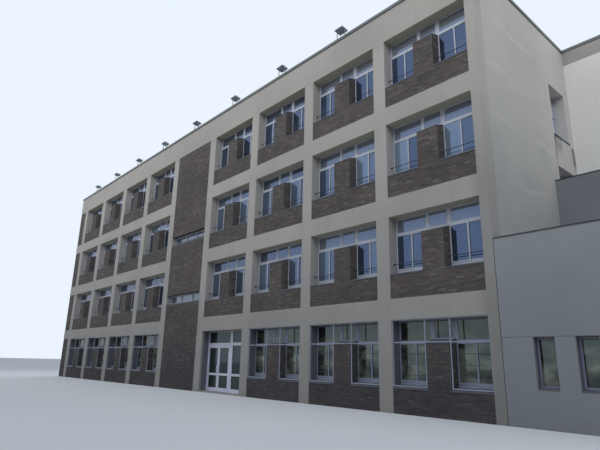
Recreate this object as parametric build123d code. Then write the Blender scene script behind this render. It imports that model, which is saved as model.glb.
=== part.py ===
from build123d import *
import os

# School building: a four-storey block with a concrete frame, brick infill and deep window bays,
# a stair bay, a rear wing and a low annex with an upper room. Millimetres, +Z up.
# Origin: on the ground, in the middle of the main block's plan. The front faces -Y.

# Plan of the main block, from the left end to the right end
bay_opening = 3270
column_width = 530
corner_width = 300
stair_opening = 3480
end_strip_width = 1050
bay_count_each_side = 4
building_depth = 13200
wall_thickness = 500
party_wall_thickness = 300

# Storeys
storeys = 4
storey_height = 3400
head_height = 2775
band_height = 670
slab_thickness = 200
ground_slab_thickness = 50
parapet_rise = 630
parapet_thickness = 300
coping_height = 100
coping_overhang = 40
coping_lip_drop = 20
coping_sheet = 8

# Brick infill and sills
brick_recess = 20
ground_spandrel_height = 720
spandrel_height = 750
sill_nose_height = 50
sill_back_height = 115
pier_width = 765
pier_back_drop = 605
pier_weathering = 120

# Windows in the bays
window_recess = 400
frame_depth = 40
frame_side = 50
frame_head = 40
bottom_rail_height = 130
transom_height = 100
mullion_width = 130
glass_thickness = 10
glass_lap = 25
glass_spacing = 20
rear_frame_width = 80
rear_lights = 1

# Guard bars on the upper storeys
guard_bar_size = 22
guard_bar_height = 1150
guard_bar_recess = 240

# Security grilles on the ground storey
grille_tube = 30
grille_recess = 30
grille_pier_gap = 25
grille_rail_lift = 20
grille_foot_lift = 20

# Stair bay
strip_bottoms = [4270, 7580]
strip_height = 520
strip_recess = 260
strip_frame = 50
strip_sill_height = 60
strip_lights = 3

# Entrance in the ground storey of the fourth bay from the right
entrance_bay = 3
door_frame_depth = 80
door_jamb = 60
door_opening = 1786
door_mullion = 200
door_head_height = 2100
door_transom = 127
leaf_thickness = 50
leaf_side_gap = 6
leaf_meeting_gap = 10
leaf_head_gap = 6
leaf_floor_gap = 10
leaf_stile = 90
leaf_top_rail = 90
leaf_base_rail = 160
mid_rail_bottom = 765
mid_rail_height = 100
door_glass_thickness = 12
hinge_count = 3
hinge_offset = 10
hinge_radius = 8
hinge_sides = 10
hinge_half_length = 50
hinge_gap = 0.3
hinge_plate_width = 35
hinge_plate_thickness = 5
handle_length = 350
handle_size = 24
handle_stand_off = 45
handle_height = 1050

# Right end wall windows, behind the annex
end_window_setback = 5500
end_window_width = 1430
end_window_height = 2150
end_window_drop = 350
end_sill_height = 40
end_sill_nose = 30
end_window_lights = 2
end_transom_share = 0.6
end_window_storeys = [2, 3]

# Annex and the room on its roof
annex_depth = 7400
annex_height = 4860
annex_coping = 30
annex_coping_overhang = 15
annex_joint = 20
annex_groove = 15
annex_wall_thickness = 300
annex_window_width = 520
annex_window_height = 1270
annex_sill_level = 890
annex_first_window = 830
annex_end_pier = 770
annex_window_count = 3
annex_window_recess = 200
annex_window_frame = 45
annex_window_lights = 1
annex_roof_drop = 300
room_setback = 5010
room_height = 7890
room_wall_thickness = 250
room_roof_level = 6400

# Floodlights on the parapet
lamp_width = 430
lamp_length = 350
lamp_rim = 30
lamp_housing = 80
lamp_taper = 25
lamp_lean = 8
lamp_reach = 10
lamp_lift = 290
yoke_width = 40
yoke_strap = 8
yoke_above_pivot = 20

# Levels and planes worked out from the sizes above
bays = 2 * bay_count_each_side
main_length = (corner_width + bays * bay_opening + (bays + 1) * column_width
               + stair_opening + end_strip_width)
wing_length = column_width + bay_opening + corner_width
left_x = -main_length / 2
right_x = main_length / 2
wing_x = right_x + wing_length
front_y = -building_depth / 2
rear_y = building_depth / 2
inner_left_x = left_x + wall_thickness
inner_right_x = right_x - wall_thickness
inner_wing_x = wing_x - party_wall_thickness
inner_front_y = front_y + wall_thickness
inner_rear_y = rear_y - wall_thickness
wing_front_y = front_y + annex_depth
inner_wing_front_y = wing_front_y + wall_thickness
roof_level = storeys * storey_height
parapet_top = roof_level + parapet_rise
coping_top = parapet_top + coping_height
room_front_y = front_y + room_setback


def block(x0, x1, y0, y1, z0, z1):
    """A box between two corners."""
    size = (abs(x1 - x0), abs(y1 - y0), abs(z1 - z0))
    middle = ((x0 + x1) / 2, (y0 + y1) / 2, (z0 + z1) / 2)
    return Pos(*middle) * Box(*size)


def side_profile(points, x0, x1):
    """A solid with the outline (y, z), running from x0 to x1."""
    outline = Plane.YZ * make_face(Polyline(*points, close=True))
    return Pos(x0, 0, 0) * extrude(outline, x1 - x0, dir=(1, 0, 0))


def save(name, solids):
    """Write one named piece, or a set of like pieces."""
    export_step(Compound(children=list(solids)), os.path.join("parts", name + ".step"))


def front(depth):
    """A plane behind the front face."""
    return front_y + depth


def rear(depth):
    """A plane inside the rear face."""
    return rear_y - depth


def storey_head(storey):
    """Underside of the band over a storey's openings."""
    return storey * storey_height + head_height


def opening_bottom(storey):
    """Where the brick infill of a storey starts."""
    if storey == 0:
        return 0
    return storey_head(storey - 1) + band_height


def spandrel_top(storey):
    """Where the brick below the windows ends."""
    if storey == 0:
        return ground_spandrel_height
    return opening_bottom(storey) + spandrel_height


def plan_of_openings():
    """The openings (right edge, left edge) of the bays and the columns between them."""
    openings = []
    columns = [(right_x - corner_width, right_x)]
    x = right_x - corner_width
    stair = None
    for bay in range(bays):
        if bay == bay_count_each_side:
            stair = (x - stair_opening, x)
            x -= stair_opening
            columns.append((x - column_width, x))
            x -= column_width
        openings.append((x - bay_opening, x))
        x -= bay_opening
        columns.append((x - column_width, x))
        x -= column_width
    return openings, columns, stair, (left_x, x)


openings, columns, stair, end_strip = plan_of_openings()
wing_openings = [(wing_x - corner_width - bay_opening, wing_x - corner_width)]
rear_column_edges = columns[1:] + [(right_x - corner_width, right_x + column_width),
                                   (wing_x - corner_width, wing_x)]
glazed_bays = [(storey, bay) for storey in range(storeys) for bay in range(bays)
               if (storey, bay) != (0, entrance_bay)]


def pier_edges(opening):
    """Left and right side of the brick pier in the middle of a bay."""
    middle = (opening[0] + opening[1]) / 2
    return middle - pier_width / 2, middle + pier_width / 2


# Concrete frame of the front
def front_bands():
    """Bands over each row of openings, cut by the full-height brick of the stair bay."""
    bands = []
    for storey in range(storeys):
        bottom = storey_head(storey)
        if storey == storeys - 1:
            bands.append(block(left_x, right_x, front_y, inner_front_y, bottom, roof_level))
            continue
        top = bottom + band_height
        bands.append(block(left_x, stair[0], front_y, inner_front_y, bottom, top))
        bands.append(block(stair[1], right_x, front_y, inner_front_y, bottom, top))
    return bands


def storey_columns(edges, y0, y1):
    """Column lengths between the bands."""
    return [block(a, b, y0, y1, opening_bottom(storey), storey_head(storey))
            for storey in range(storeys) for a, b in edges]


# Brick infill of the front
def spandrels(bays_and_edges, y0, y1):
    """Brick below the windows."""
    return [block(a, b, y0, y1, opening_bottom(storey), spandrel_top(storey))
            for storey, (a, b) in bays_and_edges]


def front_pier(storey, bay):
    """Brick pier with a weathered top, from the spandrel to the transom."""
    left, right = pier_edges(openings[bay])
    bottom = spandrel_top(storey)
    back_top = storey_head(storey) - pier_back_drop
    outline = [(front(brick_recess), bottom), (inner_front_y, bottom), (inner_front_y, back_top),
               (front(window_recess), back_top), (front(brick_recess), back_top - pier_weathering)]
    return side_profile(outline, left, right)


def stair_panels():
    """Full-height brick of the stair bay, in three parts between the window strips."""
    parts = []
    bottom = 0
    for strip in strip_bottoms + [storey_head(storeys - 1)]:
        parts.append(block(*stair, front(brick_recess), inner_front_y, bottom, strip))
        bottom = strip + strip_height
    return parts


def end_strip_panels():
    """Narrow brick strip beside the left corner."""
    return [block(*end_strip, front(brick_recess), inner_front_y,
                  opening_bottom(storey), storey_head(storey)) for storey in range(storeys)]


# Sills
def sloped_sill(x0, x1, nose_y, back_y, bottom):
    """A sill that falls from the frame to its nose."""
    outline = [(nose_y, bottom), (back_y, bottom), (back_y, bottom + sill_back_height),
               (nose_y, bottom + sill_nose_height)]
    return side_profile(outline, x0, x1)


def window_sills():
    """Sills of the front, the rear, the right end and the annex."""
    sills = []
    for storey, bay in glazed_bays:
        left, right = pier_edges(openings[bay])
        base = spandrel_top(storey)
        for a, b in [(openings[bay][0], left), (right, openings[bay][1])]:
            sills.append(sloped_sill(a, b, front_y, front(window_recess), base))
    for storey in range(storeys):
        for a, b in rear_openings():
            sills.append(sloped_sill(a, b, rear_y, rear(window_recess), spandrel_top(storey)))
    for bottom in strip_bottoms:
        sills.append(block(*stair, front(brick_recess), front(strip_recess),
                           bottom, bottom + strip_sill_height))
    for a, b in annex_window_edges():
        outer = annex_sill_level + sill_nose_height
        sills.append(block(a, b, front_y, front(annex_window_recess), annex_sill_level, outer))
    for storey in end_window_storeys:
        bottom = end_window_span(storey)[0]
        sills.append(block(right_x - window_recess, right_x + end_sill_nose, *end_window_edges(),
                           bottom, bottom + end_sill_height))
    return sills


# Windows of the bays
def window_frame(storey, bay):
    """One frame of a bay: three lights over a window each side of the pier."""
    a, b = openings[bay]
    left, right = pier_edges(openings[bay])
    head = storey_head(storey)
    bottom = spandrel_top(storey)
    y0, y1 = front(window_recess), front(window_recess + frame_depth)
    transom_bottom = head - pier_back_drop
    transom_top = transom_bottom + transom_height
    rail_top = bottom + sill_back_height + bottom_rail_height
    half = mullion_width / 2
    frame = block(a, b, y0, y1, bottom, head)
    holes = [block(left, right, y0, y1, bottom, transom_bottom)]
    for x0, x1 in [(a + frame_side, left - half), (left + half, right - half),
                   (right + half, b - frame_side)]:
        holes.append(block(x0, x1, y0, y1, transom_top, head - frame_head))
    for x0, x1 in [(a + frame_side, left - frame_side), (right + frame_side, b - frame_side)]:
        holes.append(block(x0, x1, y0, y1, rail_top, transom_bottom))
    return frame - holes


def window_glass(storey, bay):
    """Glass behind a bay's frame: one sheet over the transom and one each side of the pier."""
    a, b = openings[bay]
    left, right = pier_edges(openings[bay])
    head = storey_head(storey)
    y0 = front(window_recess + frame_depth)
    y1 = y0 + glass_thickness
    transom_middle = head - pier_back_drop + transom_height / 2
    rail_top = spandrel_top(storey) + sill_back_height + bottom_rail_height
    side = frame_side - glass_lap
    sheets = [block(a + side, b - side, y0, y1, transom_middle + glass_spacing / 2,
                    head - frame_head + glass_lap)]
    for x0, x1 in [(a + side, left - side), (right + side, b - side)]:
        sheets.append(block(x0, x1, y0, y1, rail_top - glass_lap,
                            transom_middle - glass_spacing / 2))
    return sheets


def guard_bars():
    """Bars across the upper windows, from the reveals to the pier."""
    bars = []
    for storey, bay in glazed_bays:
        if storey == 0:
            continue
        left, right = pier_edges(openings[bay])
        z = opening_bottom(storey) + guard_bar_height
        y = front(guard_bar_recess)
        half = guard_bar_size / 2
        for x0, x1 in [(openings[bay][0], left), (right, openings[bay][1])]:
            bars.append(block(x0, x1, y - half, y + half, z - half, z + half))
    return bars


def ground_grille(bay):
    """Flat security grille of a ground-storey bay: a top row over two lower frames."""
    a, b = openings[bay]
    left, right = pier_edges(openings[bay])
    tube = grille_tube
    y0, y1 = front(grille_recess), front(grille_recess + grille_tube)
    head = storey_head(0)
    foot = spandrel_top(0) + sill_nose_height + grille_foot_lift
    rail = head - pier_back_drop - pier_weathering + grille_rail_lift
    inner_left = left - grille_pier_gap
    inner_right = right + grille_pier_gap
    grille = block(a, b, y0, y1, rail, head)
    grille += block(a, inner_left, y0, y1, foot, rail + tube)
    grille += block(inner_right, b, y0, y1, foot, rail + tube)
    holes = []
    for x0, x1 in [(a + tube, inner_left - tube), (inner_left, inner_right),
                   (inner_right + tube, b - tube)]:
        holes.append(block(x0, x1, y0, y1, rail + tube, head - tube))
    for x0, x1 in [(a + tube, inner_left - tube), (inner_right + tube, b - tube)]:
        holes.append(block(x0, x1, y0, y1, foot + tube, rail))
    return grille - holes


# Plain framed windows
def lights_frame(x0, x1, y0, y1, z0, z1, bar, rail, lights, transom=None):
    """A frame with upright bars between equal lights, and a transom if it has one."""
    frame = block(x0, x1, y0, y1, z0, z1)
    width = (x1 - x0 - bar * (lights + 1)) / lights
    rows = [(z0 + rail, z1 - bar)]
    if transom:
        rows = [(z0 + rail, transom), (transom + bar, z1 - bar)]
    holes = []
    for light in range(lights):
        left = x0 + bar + light * (width + bar)
        holes += [block(left, left + width, y0, y1, low, high) for low, high in rows]
    return frame - holes


def stair_frames():
    """Strip windows of the stair bay."""
    return [lights_frame(*stair, front(strip_recess), front(strip_recess + frame_depth),
                         bottom, bottom + strip_height, strip_frame,
                         strip_sill_height + strip_frame, strip_lights)
            for bottom in strip_bottoms]


def stair_glass():
    """Glass behind the strip windows."""
    y0 = front(strip_recess + frame_depth)
    side = strip_frame - glass_lap
    return [block(stair[0] + side, stair[1] - side, y0, y0 + glass_thickness,
                  bottom + strip_sill_height + side, bottom + strip_height - side)
            for bottom in strip_bottoms]


# Rear
def rear_openings():
    """Window openings of the rear: the front's bays, the stair bay and the wing's bay."""
    return openings + [stair] + wing_openings


def rear_frames():
    """Plain window frames."""
    y0, y1 = rear(window_recess + frame_depth), rear(window_recess)
    rail = sill_back_height + bottom_rail_height
    return [lights_frame(a, b, y0, y1, spandrel_top(storey), storey_head(storey),
                         rear_frame_width, rail, rear_lights)
            for storey in range(storeys) for a, b in rear_openings()]


def rear_glass():
    """One sheet behind each rear window."""
    y1 = rear(window_recess + frame_depth)
    side = rear_frame_width - glass_lap
    rail = sill_back_height + bottom_rail_height
    return [block(a + side, b - side, y1 - glass_thickness, y1,
                  spandrel_top(storey) + rail - glass_lap, storey_head(storey) - side)
            for storey in range(storeys) for a, b in rear_openings()]


def rear_bands():
    """Bands of the rear, across the main block and the wing."""
    bands = []
    for storey in range(storeys):
        bottom = storey_head(storey)
        top = bottom + band_height
        if storey == storeys - 1:
            top = roof_level
        bands.append(block(left_x, wing_x, inner_rear_y, rear_y, bottom, top))
    return bands


def rear_end_strips():
    """Brick strip at the rear's left corner, as on the front."""
    return [block(*end_strip, inner_rear_y, rear(brick_recess),
                  opening_bottom(storey), storey_head(storey)) for storey in range(storeys)]


# Right end wall
def end_window_span(storey):
    """Bottom and top of a window in the right end wall."""
    bottom = storey * storey_height - end_window_drop
    return bottom, bottom + end_window_height


def end_window_edges():
    """Front and back edge of the windows in the right end wall."""
    return front(end_window_setback), front(end_window_setback + end_window_width)


def right_end_wall():
    """Plain lengths of the wall each side of its windows."""
    near, far = end_window_edges()
    return [block(inner_right_x, right_x, inner_front_y, near, 0, roof_level),
            block(inner_right_x, right_x, far, inner_rear_y, 0, roof_level)]


def right_end_infill():
    """Wall below, between and above the windows."""
    near, far = end_window_edges()
    parts = []
    bottom = 0
    for low, high in [end_window_span(s) for s in end_window_storeys] + [(roof_level, None)]:
        parts.append(block(inner_right_x, right_x, near, far, bottom, low))
        bottom = high
    return parts


def end_window_frames():
    """Two-light frames with a transom, deep in the right end wall."""
    near, far = end_window_edges()
    x1 = right_x - window_recess
    frames = []
    for storey in end_window_storeys:
        low, high = end_window_span(storey)
        transom = low + end_transom_share * end_window_height
        flat = lights_frame(near, far, 0, frame_depth, low, high, frame_side,
                            end_sill_height + frame_side, end_window_lights, transom)
        turned = Rot(0, 0, 90) * flat
        frames.append(Pos(x1, 0, 0) * turned)
    return frames


def end_window_glass():
    """Glass inside the frames of the right end wall."""
    near, far = end_window_edges()
    x1 = right_x - window_recess - frame_depth
    side = frame_side - glass_lap
    sheets = []
    for storey in end_window_storeys:
        low, high = end_window_span(storey)
        sheets.append(block(x1 - glass_thickness, x1, near + side, far - side,
                            low + end_sill_height + side, high - side))
    return sheets


# Entrance
door_face_y = front(window_recess)
entrance_left, entrance_right = openings[entrance_bay]
door_left = entrance_left + door_jamb
door_right = door_left + door_opening
sidelight_left = door_right + door_mullion
sidelight_right = entrance_right - door_jamb
hinge_inset = leaf_side_gap / 2
hinge_y = door_face_y - hinge_offset
leaf_bottom = ground_slab_thickness + leaf_floor_gap
leaf_top = door_head_height - leaf_head_gap
leaf_width = (door_opening - 2 * leaf_side_gap - leaf_meeting_gap) / 2
entrance_head = storey_head(0)
upper_light_bottom = door_head_height + door_transom


def hinge_levels():
    """Heights of the middle of each hinge."""
    low = leaf_bottom + leaf_base_rail
    high = leaf_top - leaf_top_rail
    return [low + step * (high - low) / (hinge_count - 1) for step in range(hinge_count)]


def hinge_half(axis_x, plate_x, bottom, top):
    """A knuckle on the axis with its plate on the face beside it."""
    round_end = Pos(axis_x, hinge_y, bottom) * RegularPolygon(hinge_radius, hinge_sides)
    barrel = extrude(round_end, top - bottom)
    plate = block(axis_x, plate_x, door_face_y - hinge_plate_thickness, door_face_y, bottom, top)
    return barrel + plate


def entrance_posts():
    """Jambs of the entrance and the wide mullion between doors and sidelight."""
    y0, y1 = door_face_y, door_face_y + door_frame_depth
    return [block(a, b, y0, y1, ground_slab_thickness, entrance_head)
            for a, b in [(entrance_left, door_left), (door_right, sidelight_left),
                         (sidelight_right, entrance_right)]]


def entrance_rails():
    """Head rails and transoms of the entrance, and the sidelight's middle and base rails."""
    y0, y1 = door_face_y, door_face_y + door_frame_depth
    rails = []
    for a, b in [(door_left, door_right), (sidelight_left, sidelight_right)]:
        rails.append(block(a, b, y0, y1, door_head_height, upper_light_bottom))
        rails.append(block(a, b, y0, y1, entrance_head - frame_head, entrance_head))
    for low, high in [(ground_slab_thickness, ground_slab_thickness + leaf_base_rail),
                      (mid_rail_bottom, mid_rail_bottom + mid_rail_height)]:
        rails.append(block(sidelight_left, sidelight_right, y0, y1, low, high))
    return rails


def frame_hinges():
    """Lower hinge halves, on the jamb and on the mullion."""
    halves = []
    for level in hinge_levels():
        low = level - hinge_half_length
        for axis_x, side in [(door_left + hinge_inset, -1), (door_right - hinge_inset, 1)]:
            halves.append(hinge_half(axis_x, axis_x + side * hinge_plate_width, low, level))
    return halves


def entrance_glass():
    """Fixed panes of the sidelight and the upper lights."""
    middle = door_face_y + door_frame_depth / 2
    y0, y1 = middle - door_glass_thickness / 2, middle + door_glass_thickness / 2
    panes = []
    for z0, z1 in [(ground_slab_thickness + leaf_base_rail, mid_rail_bottom),
                   (mid_rail_bottom + mid_rail_height, door_head_height)]:
        panes.append(block(sidelight_left, sidelight_right, y0, y1, z0, z1))
    for x0, x1 in [(door_left, door_right), (sidelight_left, sidelight_right)]:
        panes.append(block(x0, x1, y0, y1, upper_light_bottom, entrance_head - frame_head))
    return panes


def leaf_holes():
    """Heights of the two panes of a leaf."""
    return [(leaf_bottom + leaf_base_rail, mid_rail_bottom),
            (mid_rail_bottom + mid_rail_height, leaf_top - leaf_top_rail)]


def pull_handle(x):
    """A vertical pull bar on two short stays."""
    y = door_face_y - handle_stand_off
    half = handle_size / 2
    bottom = handle_height - handle_length / 2
    top = handle_height + handle_length / 2
    bar = block(x - half, x + half, y - half, y + half, bottom, top)
    for low in (bottom, top - handle_size):
        bar += block(x - half, x + half, y, door_face_y, low, low + handle_size)
    return bar


def door_leaf(hinge_x, side):
    """A glazed leaf hung at hinge_x; side is +1 where it reaches to the right."""
    y0, y1 = door_face_y, door_face_y + leaf_thickness
    near = hinge_x + side * hinge_inset
    far = near + side * leaf_width
    leaf = block(near, far, y0, y1, leaf_bottom, leaf_top)
    holes = [block(near + side * leaf_stile, far - side * leaf_stile, y0, y1, low, high)
             for low, high in leaf_holes()]
    return leaf - holes


def leaf_fittings(hinge_x, side):
    """Upper hinge halves of a leaf and its pull handle."""
    fittings = [hinge_half(hinge_x, hinge_x + side * hinge_plate_width,
                           level + hinge_gap, level + hinge_half_length)
                for level in hinge_levels()]
    handle_x = hinge_x + side * (hinge_inset + leaf_width - leaf_stile / 2)
    return fittings + [pull_handle(handle_x)]


def door_glass(hinge_x, side):
    """The two panes of a leaf."""
    middle = door_face_y + leaf_thickness / 2
    near = hinge_x + side * (hinge_inset + leaf_stile)
    far = hinge_x + side * (hinge_inset + leaf_width - leaf_stile)
    return [block(near, far, middle - door_glass_thickness / 2, middle + door_glass_thickness / 2,
                  low, high) for low, high in leaf_holes()]


# Annex
def annex_window_edges():
    """Left and right edge of each annex window."""
    first = right_x + annex_first_window
    last = wing_x - annex_end_pier - annex_window_width
    pitch = (last - first) / (annex_window_count - 1)
    starts = [first + i * pitch for i in range(annex_window_count)]
    return [(start, start + annex_window_width) for start in starts]


annex_wall_top = annex_height - annex_coping
annex_left = right_x + annex_joint
annex_back_y = front_y + annex_wall_thickness
annex_window_top = annex_sill_level + annex_window_height
annex_roof_top = annex_wall_top - annex_roof_drop
room_wall_top = room_height - annex_coping


def annex_front_wall():
    """Wall below the annex windows, and above them with a groove along its lower edge."""
    upper = [(front_y, annex_window_top + annex_groove), (front(annex_groove), annex_window_top),
             (annex_back_y, annex_window_top), (annex_back_y, annex_wall_top),
             (front_y, annex_wall_top)]
    return [block(annex_left, wing_x, front_y, annex_back_y, 0, annex_sill_level),
            side_profile(upper, annex_left, wing_x)]


def annex_piers():
    """Wall between the annex windows."""
    edges = [annex_left] + [x for pair in annex_window_edges() for x in pair] + [wing_x]
    return [block(edges[i], edges[i + 1], front_y, annex_back_y, annex_sill_level,
                  annex_window_top) for i in range(0, len(edges), 2)]


def annex_frames():
    """Narrow frames of the annex windows."""
    y0, y1 = front(annex_window_recess), front(annex_window_recess + frame_depth)
    return [lights_frame(a, b, y0, y1, annex_sill_level, annex_window_top, annex_window_frame,
                         sill_nose_height + annex_window_frame, annex_window_lights)
            for a, b in annex_window_edges()]


def annex_glass():
    """Glass of the annex windows."""
    y0 = front(annex_window_recess + frame_depth)
    side = annex_window_frame - glass_lap
    return [block(a + side, b - side, y0, y0 + glass_thickness,
                  annex_sill_level + sill_nose_height + side, annex_window_top - side)
            for a, b in annex_window_edges()]


def low_copings():
    """Thin copings of the annex and of the room on it."""
    over = annex_coping_overhang
    return [block(annex_left, wing_x, front_y - over, annex_back_y + over,
                  annex_wall_top, annex_height),
            block(right_x, wing_x, room_front_y - over, room_front_y + room_wall_thickness + over,
                  room_wall_top, room_height)]


# Floors and roofs
def ground_slabs():
    """Ground floors of the main block, the wing and the annex."""
    return [block(inner_left_x, inner_right_x, inner_front_y, inner_rear_y, 0,
                  ground_slab_thickness),
            block(right_x, inner_wing_x, inner_wing_front_y, inner_rear_y, 0,
                  ground_slab_thickness),
            block(right_x, inner_wing_x, annex_back_y, wing_front_y, 0, ground_slab_thickness)]


def floor_slabs(levels):
    """Slabs of the main block and the wing, each with its top at a level."""
    slabs = []
    for level in levels:
        slabs.append(block(inner_left_x, inner_right_x, inner_front_y, inner_rear_y,
                           level - slab_thickness, level))
        slabs.append(block(right_x, inner_wing_x, inner_wing_front_y, inner_rear_y,
                           level - slab_thickness, level))
    return slabs


def low_roofs():
    """Roofs of the annex and of the room on it."""
    return [block(right_x, inner_wing_x, annex_back_y, wing_front_y,
                  annex_roof_top - slab_thickness, annex_roof_top),
            block(right_x, inner_wing_x, room_front_y + room_wall_thickness, wing_front_y,
                  room_roof_level - slab_thickness, room_roof_level)]


# Parapets and copings
def long_parapets():
    """Parapets along the front, the rear and the wing's front."""
    t = parapet_thickness
    return [block(left_x, right_x, front_y, front_y + t, roof_level, parapet_top),
            block(left_x, wing_x, rear_y - t, rear_y, roof_level, parapet_top),
            block(right_x - t, wing_x, wing_front_y, wing_front_y + t, roof_level, parapet_top)]


def end_parapets():
    """Parapets along the ends."""
    t = parapet_thickness
    return [block(left_x, left_x + t, front_y + t, rear_y - t, roof_level, parapet_top),
            block(right_x - t, right_x, front_y + t, wing_front_y, roof_level, parapet_top),
            block(wing_x - t, wing_x, wing_front_y + t, rear_y - t, roof_level, parapet_top)]


def coping_outline(near, far):
    """Section of a coping over a parapet from near to far, with a lip hanging off each side."""
    outer_near, outer_far = near - coping_overhang, far + coping_overhang
    inner_near, inner_far = outer_near + coping_sheet, outer_far - coping_sheet
    lip = parapet_top - coping_lip_drop
    return [(outer_near, lip), (inner_near, lip), (inner_near, parapet_top),
            (inner_far, parapet_top), (inner_far, lip), (outer_far, lip),
            (outer_far, coping_top), (outer_near, coping_top)]


def long_copings():
    """Metal copings of the long parapets, their lips cut where an end parapet meets them."""
    t, o = parapet_thickness, coping_overhang
    copings = [side_profile(coping_outline(front_y, front_y + t), left_x - o, right_x + o),
               side_profile(coping_outline(rear_y - t, rear_y), left_x - o, wing_x + o),
               side_profile(coping_outline(wing_front_y, wing_front_y + t), right_x - t - o,
                            wing_x + o)]
    return [coping - end_parapets() for coping in copings]


def end_copings():
    """Metal copings of the end parapets, between the long ones."""
    t, o = parapet_thickness, coping_overhang
    copings = []
    for wall_x, y0, y1 in [(left_x, front_y + t + o, rear_y - t - o),
                           (right_x - t, front_y + t + o, wing_front_y - o),
                           (wing_x - t, wing_front_y + t + o, rear_y - t - o)]:
        outline = Plane.XZ * make_face(Polyline(*coping_outline(wall_x, wall_x + t), close=True))
        copings.append(Pos(0, y0, 0) * extrude(outline, y1 - y0, dir=(0, 1, 0)))
    return copings


# Floodlights
def lamp_middles():
    """Middle of each bay along the front, the stair bay included."""
    return [(a + b) / 2 for a, b in openings + [stair]]


def lamp_head(x):
    """Head that shines down over the front, with a plain rim and a housing that tapers."""
    face = Rectangle(lamp_width, lamp_length)
    back_face = Pos(0, 0, lamp_rim) * face
    head = extrude(face, lamp_rim) + extrude(back_face, lamp_housing, taper=lamp_taper)
    return Pos(x, front_y - lamp_reach, coping_top + lamp_lift) * Rot(-lamp_lean, 0, 0) * head


def lamp_yoke(x):
    """Strap bent into a U, from the coping up to the rim at each side of a head."""
    y0 = front_y - lamp_reach - yoke_width / 2
    y1 = y0 + yoke_width
    top = coping_top + lamp_lift + lamp_rim / 2 + yoke_above_pivot
    inner = lamp_width / 2
    outer = inner + yoke_strap
    yoke = block(x - outer, x + outer, y0, y1, coping_top, top)
    return yoke - block(x - inner, x + inner, y0, y1, coping_top + yoke_strap, top)


os.makedirs("parts", exist_ok=True)
glazed = [(storey, openings[bay]) for storey, bay in glazed_bays]
rear_bays = [(storey, edges) for storey in range(storeys) for edges in rear_openings()]

save("ground_slabs", ground_slabs())
save("floor_slabs", floor_slabs([s * storey_height for s in range(1, storeys)]))
save("roof_slabs", floor_slabs([roof_level]))
save("low_roof_slabs", low_roofs())

save("front_bands", front_bands())
save("front_columns", storey_columns(columns, front_y, inner_front_y))
save("front_spandrels", spandrels(glazed, front(brick_recess), inner_front_y))
save("front_piers", [front_pier(storey, bay) for storey, bay in glazed_bays])
save("stair_panels", stair_panels())
save("end_strip_panels", end_strip_panels() + rear_end_strips())
save("window_sills", window_sills())

save("front_window_frames", [window_frame(storey, bay) for storey, bay in glazed_bays])
save("front_window_glass",
     [sheet for storey, bay in glazed_bays for sheet in window_glass(storey, bay)])
save("stair_window_frames", stair_frames())
save("stair_window_glass", stair_glass())
save("guard_bars", guard_bars())
save("ground_storey_grilles", [ground_grille(bay) for storey, bay in glazed_bays if storey == 0])

save("entrance_threshold",
     [block(entrance_left, entrance_right, front_y, inner_front_y, 0, ground_slab_thickness)])
save("entrance_posts", entrance_posts())
save("entrance_rails", entrance_rails())
save("entrance_glass", entrance_glass())
save("frame_hinges", frame_hinges())
for name, hinge_x, side in [("left", door_left + hinge_inset, 1),
                            ("right", door_right - hinge_inset, -1)]:
    save(name + "_door_leaf", [door_leaf(hinge_x, side)])
    save(name + "_door_glass", door_glass(hinge_x, side))
    save(name + "_door_fittings", leaf_fittings(hinge_x, side))

save("left_end_wall", [block(left_x, inner_left_x, inner_front_y, inner_rear_y, 0, roof_level)])
save("right_end_wall", right_end_wall())
save("right_end_infill", right_end_infill())
save("end_window_frames", end_window_frames())
save("end_window_glass", end_window_glass())

save("rear_bands", rear_bands())
save("rear_columns", storey_columns(rear_column_edges, inner_rear_y, rear_y))
save("rear_spandrels", spandrels(rear_bays, inner_rear_y, rear(brick_recess)))
save("rear_window_frames", rear_frames())
save("rear_window_glass", rear_glass())

save("wing_front_wall",
     [block(right_x, inner_wing_x, wing_front_y, inner_wing_front_y, 0, roof_level)])
save("wing_party_wall", [block(inner_wing_x, wing_x, wing_front_y, inner_rear_y, 0, roof_level)])

save("annex_front_wall", annex_front_wall())
save("annex_wall_piers", annex_piers())
save("annex_party_wall",
     [block(inner_wing_x, wing_x, annex_back_y, wing_front_y, 0, annex_wall_top)])
save("annex_window_frames", annex_frames())
save("annex_window_glass", annex_glass())
save("low_copings", low_copings())
save("room_front_wall",
     [block(right_x, inner_wing_x, room_front_y, room_front_y + room_wall_thickness,
            annex_roof_top, room_wall_top)])
save("room_end_wall",
     [block(inner_wing_x, wing_x, room_front_y, wing_front_y, annex_wall_top, room_wall_top)])

save("long_parapets", long_parapets())
save("end_parapets", end_parapets())
save("long_copings", long_copings())
save("end_copings", end_copings())
save("floodlight_heads", [lamp_head(x) for x in lamp_middles()])
save("floodlight_brackets", [lamp_yoke(x) for x in lamp_middles()])
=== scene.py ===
"""Looks of the school building: brick courses, sashes, glass, rails, floodlights and finishes."""
import math
import random

import bmesh
import bpy
from mathutils import Matrix, Vector


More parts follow.
